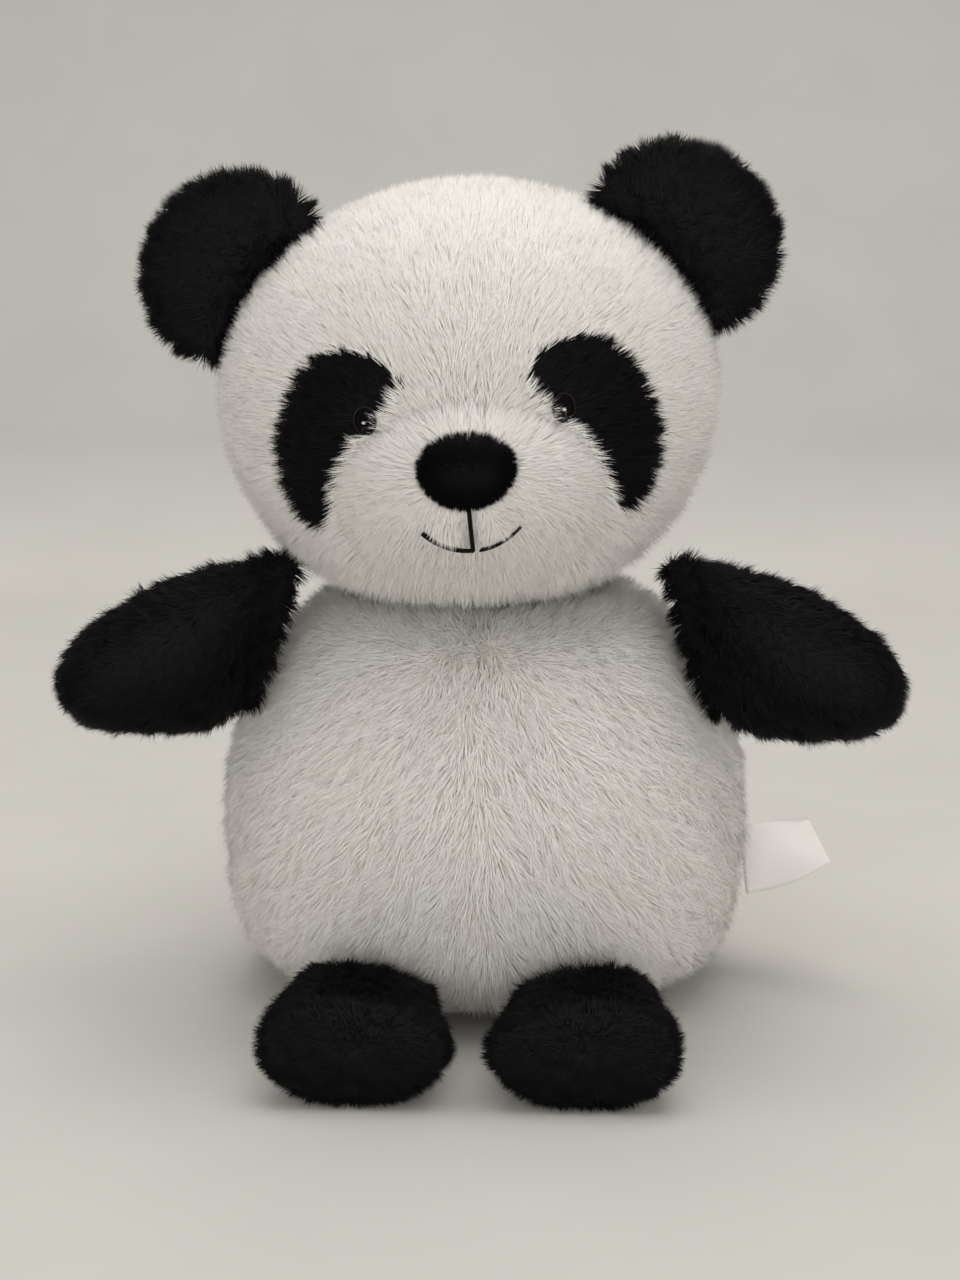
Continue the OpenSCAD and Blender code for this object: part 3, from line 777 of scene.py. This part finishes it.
def near_root(node):
    """The pile stands up round the seam where a limb joins the body, and hides the fold."""
    points = np.vstack([MESHES[n][0] for n in BODIES[BODY_OF[node]]])
    joint = next(j for j in frame["joints"] if j["child"] == BODY_OF[node])
    seam, axis = np.array(joint["pos_m"]), np.array(joint["axis"])
    out = points.mean(0) - seam
    out = unit(out - axis * (out @ axis))

    def stand(places):
        return 0.7 * np.clip(1 - ((places - seam) @ out) / (7 * MM), 0, 1)

    return stand


# ---------------------------------------------------------------- building the panda

WHITE = dict(material=white_pile, slot="white_plush")
BLACK = dict(material=black_pile, slot="black_plush", own=0.9)


def build_body():
    for node, flow in (
        ("belly_left", belly_flow),
        ("belly_right", belly_flow),
        ("back_left", back_flow),
        ("back_right", back_flow),
    ):
        cloth_panel(node, white_backing)
        pile(node, flow=flow, length=8.6, stand=near_neck, **WHITE)
    cloth_panel("seat_panel", white_backing, depth=1.6)
    pile(
        "seat_panel", flow=seat_flow, length=3.2, fine=1.6, bent=0, width=0.24,
        lift=0.15, depth=1.4, tuft=0.1, **WHITE,
    )  # fmt: skip


def build_head():
    for node in ("forehead", "cheek_left", "cheek_right", "muzzle"):
        puff = {"muzzle": lip_puff, "forehead": bridge_puff}.get(node)
        clear = white_clear if node in ("muzzle", "forehead") else face_clear
        cloth_panel(node, white_backing, depth=2.2, pinch=0.2, puff=puff)
        pile(
            node, flow=face_flow, length=6.6, fine=5.8, lift=0.74, root_lift=0.95, depth=2.5,
            tip_lift=0.55, tuft=0.14, tuft_size=4.5, clear=clear, seam_dip=0.0, puff=puff, **WHITE,
        )  # fmt: skip
    for node in ("head_back_left", "head_back_right"):
        cloth_panel(node, white_backing)
        pile(node, flow=head_back_flow, length=7.4, fine=3.6, bent=0.6, width=0.18, **WHITE)
    for side in SIDES:
        node = "eye_patch_" + side
        cloth_panel(node, black_backing)
        pile(
            node, flow=face_flow, length=6.6, fine=5.5, bent=1.2, width=0.17, lift=0.6,
            root_lift=0.85, tip_lift=0.4, tuft=0.3, tuft_size=4.0, clear=face_clear, **BLACK,
        )  # fmt: skip


def build_limbs():
    for side, sign in (("left", -1), ("right", 1)):
        for part in ("ear_front_", "ear_back_"):
            cloth_panel(part + side, black_backing, depth=2.2)
            pile(
                part + side, flow=ear_flow(side), length=6.6, fine=5.5, bent=1.4, width=0.17, lift=0.62,
                root_lift=1.0, tip_lift=0.45, depth=2.4, tuft=0.5, tuft_size=6.0, stray=0.3,
                seam_dip=0.0, stand=near_root(part + side), **BLACK,
            )  # fmt: skip
        for part in ("arm_front_", "arm_back_"):
            cloth_panel(part + side, black_backing)
            pile(
                part + side, flow=arm_flow(sign), length=6.6, fine=5.0, bent=1.2, width=0.17, lift=0.42,
                root_lift=0.7, tip_lift=0.2, tuft=0.35, stray=0.22, seam_dip=0.1,
                stand=near_root(part + side), **BLACK,
            )  # fmt: skip
        cloth_panel("foot_upper_" + side, black_backing)
        pile(
            "foot_upper_" + side, flow=foot_flow(side), length=6.2, fine=5.0, bent=1.0, width=0.17,
            tuft=0.3, stray=0.2, **BLACK,
        )  # fmt: skip
        cloth_panel("foot_sole_" + side, black_backing, depth=2.0)
        pile(
            "foot_sole_" + side, flow=sole_flow(side), length=4.4, fine=6.0, bent=0, width=0.16,
            lift=0.9, depth=2.0, tuft=0.25, seam_dip=0.0, **BLACK,
        )  # fmt: skip


def build_inside():
    for node in BODY_OF:
        if "filling" in node:
            inner_wad(node, stuffing)
    inner_wad("pellet_pouch", pouch_cotton, lumps=0.3)


def build_nose():
    cloth_panel("nose", black_backing, depth=0.7)

    def flow(places, normals):
        return unit(places - head_place(0, -80, -8))

    def longer(places):
        return 2.6 + 1.4 * np.clip((in_head(places)[:, 2] - in_head(places)[:, 2].mean()) / 8, 0, 1)

    pile(
        "nose", material=nose_pile, slot="black_nose_plush", flow=flow, length=longer, fine=24, bent=0,
        width=0.12, lift=0.95, depth=0.9, tuft=0.3, tuft_size=2.2, stray=0.3, seam_dip=0.0,
    )  # fmt: skip


def tube(points, radius, sides=6, twist=0.0):
    """A closed round thread along the points (n, 3)."""
    points = np.array(points)
    n = len(points)
    ahead = unit(np.gradient(points, axis=0))
    side = unit(np.cross(ahead, np.array([0, 1, 0]) + 1e-6))
    up = np.cross(side, ahead)
    rings = []
    for i in range(n):
        a = np.arange(sides) * 2 * math.pi / sides + twist * i
        rings.append(
            points[i] + radius * (np.cos(a)[:, None] * side[i] + np.sin(a)[:, None] * up[i])
        )
    faces = [
        (i * sides + j, i * sides + (j + 1) % sides, (i + 1) * sides + (j + 1) % sides, (i + 1) * sides + j)
        for i in range(n - 1)
        for j in range(sides)
    ]
    faces.append(tuple(range(sides))[::-1])
    faces.append(tuple((n - 1) * sides + j for j in range(sides)))
    return np.vstack(rings), faces


def join_parts(name, parts):
    """One mesh from several (points, faces, material number)."""
    points, faces, materials, start = [], [], [], 0
    for p, f, m in parts:
        points.append(np.array(p))
        faces += [tuple(i + start for i in face) for face in f]
        materials += [m] * len(f)
        start += len(p)
    mesh = mesh_from(name, np.vstack(points), faces)
    mesh.polygons.foreach_set("material_index", materials)
    mesh.shade_smooth()
    return mesh


def build_mouth():
    """Two plies of thread laid in a twist along the mouth, proud of the trimmed pile."""
    proud, lay, pitch = 1.7, 0.24, 1.5
    parts = []
    for line in smile_line():
        line = np.array(line)
        steps = np.concatenate([[0], np.cumsum(np.linalg.norm(np.diff(line, axis=0), axis=1))])
        at = np.linspace(0, steps[-1], int(steps[-1] / 0.16))
        x, z = np.interp(at, steps, line[:, 0]), np.interp(at, steps, line[:, 1])
        for ply in (0, math.pi):
            turn = at / pitch * 2 * math.pi + ply
            path = [
                head_place(
                    a + lay * math.cos(t),
                    muzzle_face(a, b) - proud - 0.4 * lip_swell(a, b) + lay * math.sin(t),
                    b + lay * math.cos(t),
                )
                for a, b, t in zip(x, z, turn)
            ]
            p, f = tube(path, 0.42 * MM)
            parts.append((p, f, 0))
    obj = link("mouth_stitches", join_parts("mouth_stitches", parts))
    obj.data.materials.append(black_thread)
    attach(obj, "head")
    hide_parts("mouth_thread")


def build_eye(side):
    """Satin-stitched eye: a domed black disc of laid threads, a brown ring, and a white glint."""
    low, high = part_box("eye_" + side)
    middle = (np.array(low) + np.array(high)) / 2
    points, faces = MESHES["eye_" + side]
    normals, area = face_normals(points, faces)
    out = unit(middle - np.array(head_place(0, 0, 0)))
    up = unit(np.array([0, 0, 1.0]) - out * out[2])
    across = np.cross(up, out)
    front = middle + out * (((points - middle) @ out).max() - 0.3 * MM) + up * 0.6 * MM
    half_w, half_h = 3.2 * MM, 3.6 * MM
    parts = []

    def stitch(a, b, rise, material, radius=0.14):
        """One laid thread from a to b, in (across, up) metres on the eye."""
        steps = np.linspace(0, 1, 7)
        path = []
        for t in steps:
            u, v = a[0] + (b[0] - a[0]) * t, a[1] + (b[1] - a[1]) * t
            bow = rise * (1 - (2 * t - 1) ** 2) - 0.5
            path.append(front + across * u + up * v + out * bow * MM)
        p, f = tube(path, radius * MM, sides=4)
        parts.append((p, f, material))

    for v in np.arange(-half_h, half_h, 0.22 * MM):
        u = half_w * math.sqrt(max(0.0, 1 - (v / half_h) ** 2))
        if u > 0.5 * MM:
            stitch((-u, v), (u, v + 0.1 * MM), 0.55, 0)
    for turn in np.arange(0, 2 * math.pi, 2 * math.pi / 64):
        c, s = math.cos(turn), math.sin(turn)
        inner, outer = 0.98, 1.1
        stitch(
            (half_w * inner * c, half_h * inner * s), (half_w * outer * c, half_h * outer * s), 0.3, 1, 0.13
        )
    for u in np.arange(-0.4, 0.41, 0.2):
        reach = math.sqrt(max(0.0, 1 - (u / 0.5) ** 2)) * 0.6
        stitch(((u - 0.1) * MM, (-0.5 - reach) * MM), ((u - 0.1) * MM, (-0.5 + reach) * MM), 0.85, 2, 0.12)
    for v in np.arange(-2.9, -1.4, 0.2):
        reach = 1.8 * math.sqrt(max(0.0, 1 - ((v + 1.2) / 2) ** 2))
        stitch((-reach * MM, v * MM), (reach * MM, v * MM), 0.72, 3)
    obj = link("eye_" + side + "_stitches", join_parts("eye_" + side + "_stitches", parts))
    for material in (black_thread, brown_thread, white_thread, red_brown_thread):
        obj.data.materials.append(material)
    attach(obj, "head")
    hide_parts("eye_" + side)


def build_label():
    """A blank satin ribbon folded in a loop, its ends sewn into the side seam.
    It stands upright at the seam, and turns until its fold lies nearly flat."""
    low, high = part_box("side_label")
    start = np.array([low[0], (low[1] + high[1]) / 2, (low[2] + high[2]) / 2])
    reach, wide = high[0] - low[0], high[2] - low[2]
    rows, columns, thick = 48, 12, 0.16 * MM

    def spine(out):
        """Middle of the ribbon, its width's direction and its outward face, at a share of its reach."""
        twist = 0.5 + 0.72 * out * out * (3 - 2 * out)
        middle = start + np.array([reach * (out - 0.13 * out**3), 5 * MM * out * out, (5 * out - 3) * MM])
        across = np.array([0.42 * math.sin(twist), -0.78 * math.sin(twist), -math.cos(twist)])
        ahead = unit(np.array([1.0, 0.25 * out, 0.12]))
        across = unit(across - ahead * (across @ ahead))
        return middle, across, np.cross(ahead, across)

    rows_at = []
    for i in range(rows + 1):
        t = i / rows
        turn = 0.0 if t < 0.47 else math.pi if t > 0.53 else (t - 0.47) / 0.06 * math.pi
        out = t / 0.47 if t < 0.47 else (1 - t) / 0.47 if t > 0.53 else 1.0
        middle, across, face = spine(out)
        gap = 0.35 * MM * (0.5 + 0.9 * math.sin(min(1.0, out) * math.pi) ** 2)
        ahead = np.cross(across, face)
        centre = middle - face * gap * math.cos(turn) + ahead * 0.4 * MM * math.sin(turn)
        skin = face * math.cos(turn) - ahead * math.sin(turn)
        rows_at.append((centre, across, skin))
    grid = np.zeros((2, rows + 1, columns + 1, 3))
    for i, (centre, across, skin) in enumerate(rows_at):
        for j in range(columns + 1):
            spot = centre + across * wide * (j / columns - 0.5)
            grid[0, i, j], grid[1, i, j] = spot - skin * thick / 2, spot + skin * thick / 2
    count = (rows + 1) * (columns + 1)

    def number(s, i, j):
        return s * count + i * (columns + 1) + j

    def quad(*corners):
        faces.append([number(*corner) for corner in corners])

    faces = []
    for i in range(rows):
        for j in range(columns):
            quad((0, i, j), (0, i + 1, j), (0, i + 1, j + 1), (0, i, j + 1))
            quad((1, i, j), (1, i, j + 1), (1, i + 1, j + 1), (1, i + 1, j))
        for j in (0, columns):
            quad((0, i, j), (1, i, j), (1, i + 1, j), (0, i + 1, j))
    for i in (0, rows):
        for j in range(columns):
            quad((0, i, j), (0, i, j + 1), (1, i, j + 1), (1, i, j))
    mesh = mesh_from("label_ribbon", grid.reshape(-1, 3), faces)
    mend = bmesh.new()
    mend.from_mesh(mesh)
    bmesh.ops.recalc_face_normals(mend, faces=mend.faces)
    mend.to_mesh(mesh)
    mend.free()
    mesh.shade_smooth()
    obj = link("label_ribbon", mesh)
    obj.data.materials.append(label_satin)
    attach(obj, "label")
    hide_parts("side_label")


# ---------------------------------------------------------------- floor, light and camera


def build_stage():
    """A seamless pale sweep: floor in front, a soft bend, and a wall behind; the same paper is painted darker on
    the bend and the wall, as painted shade.
    """
    profile = [(-1.2, 0.0), (0.55, 0.0)]
    profile += [
        (0.55 + 0.35 * math.sin(a), 0.35 - 0.35 * math.cos(a)) for a in np.linspace(0, math.pi / 2, 24)
    ]
    profile += [(0.9, 2.2)]
    points = [(x, y, z) for y, z in profile for x in (-2.2, 2.2)]
    faces = [(2 * i, 2 * i + 1, 2 * i + 3, 2 * i + 2) for i in range(len(profile) - 1)]
    obj = link("paper_sweep", mesh_from("paper_sweep", points, faces))
    obj.data.shade_smooth()
    material, tree, surface = new_material("matt grey paper")
    grain = add(tree, "ShaderNodeTexNoise", Vector=object_place(tree), Scale=14.0, Detail=3.0)
    floor = ramp(tree, grain.outputs[0], [(0.3, "#d1cfcb"), (0.7, "#d5d3cf")])
    # painted shade: the bend and the wall get a darker colour than the floor, standing for the weaker light that
    # reaches them
    shaded_wall = ramp(tree, grain.outputs[0], [(0.3, "#bbb9b6"), (0.7, "#bfbdba")])
    rise = add(tree, "ShaderNodeSeparateXYZ", _0=object_place(tree)).outputs["Z"]
    # the mask switches from the floor colour to the painted-shade colour as the paper rises
    up = ramp(tree, rise, [(0.008, "#000000"), (0.06, "#ffffff")])
    colour = mixed(tree, up, floor, shaded_wall)
    tree.links.new(colour, surface.inputs["Base Color"])
    surface.inputs["Roughness"].default_value = 0.85
    obj.data.materials.append(material)


def soft_light(name, place, target, size, power, colour="#ffffff"):
    data = bpy.data.lights.new(name, "AREA")
    data.shape = "RECTANGLE"
    data.size, data.size_y = size
    data.energy = power
    data.color = linear(colour)[:3]
    obj = bpy.data.objects.new(name, data)
    obj.location = place
    obj.rotation_euler = (Vector(target) - Vector(place)).to_track_quat("-Z", "Y").to_euler()
    bpy.context.collection.objects.link(obj)


def build_lights():
    soft_light("overhead softbox", (0.05, 0.1, 1.3), (0, 0.03, 0.12), (1.3, 1.0), 8.6, "#fffdf9")
    soft_light("front fill", (0.1, -1.7, 0.3), (0, 0, 0.12), (1.8, 1.0), 14, "#fffefb")
    world = bpy.data.worlds.new("studio air")
    world.use_nodes = True
    background = next(n for n in world.node_tree.nodes if n.type == "BACKGROUND")
    background.inputs["Color"].default_value = linear("#f6f4f0")
    background.inputs["Strength"].default_value = 0.6
    bpy.context.scene.world = world


def build_camera():
    """Eye a little above the toy, nearly square on."""
    turn, rise, away = math.radians(2.5), math.radians(13), 0.7
    target = Vector((0, 0.0195, 0.105))
    back = Vector(
        (math.sin(turn) * math.cos(rise), -math.cos(turn) * math.cos(rise), math.sin(rise))
    )
    data = bpy.data.cameras.new("studio camera")
    data.sensor_width = 36
    data.lens = 65.6
    data.shift_x = -1 / 256
    data.clip_start = 0.01
    data.dof.use_dof = False
    camera = bpy.data.objects.new("studio camera", data)
    camera.location = target + back * away
    camera.rotation_euler = (-back).to_track_quat("-Z", "Y").to_euler()
    bpy.context.collection.objects.link(camera)
    bpy.context.scene.camera = camera


build_inside()
build_body()
build_head()
build_limbs()
build_nose()
build_mouth()
for eye_side in SIDES:
    build_eye(eye_side)
build_label()
build_stage()
build_lights()
build_camera()

bpy.context.scene.view_settings.view_transform = "Standard"
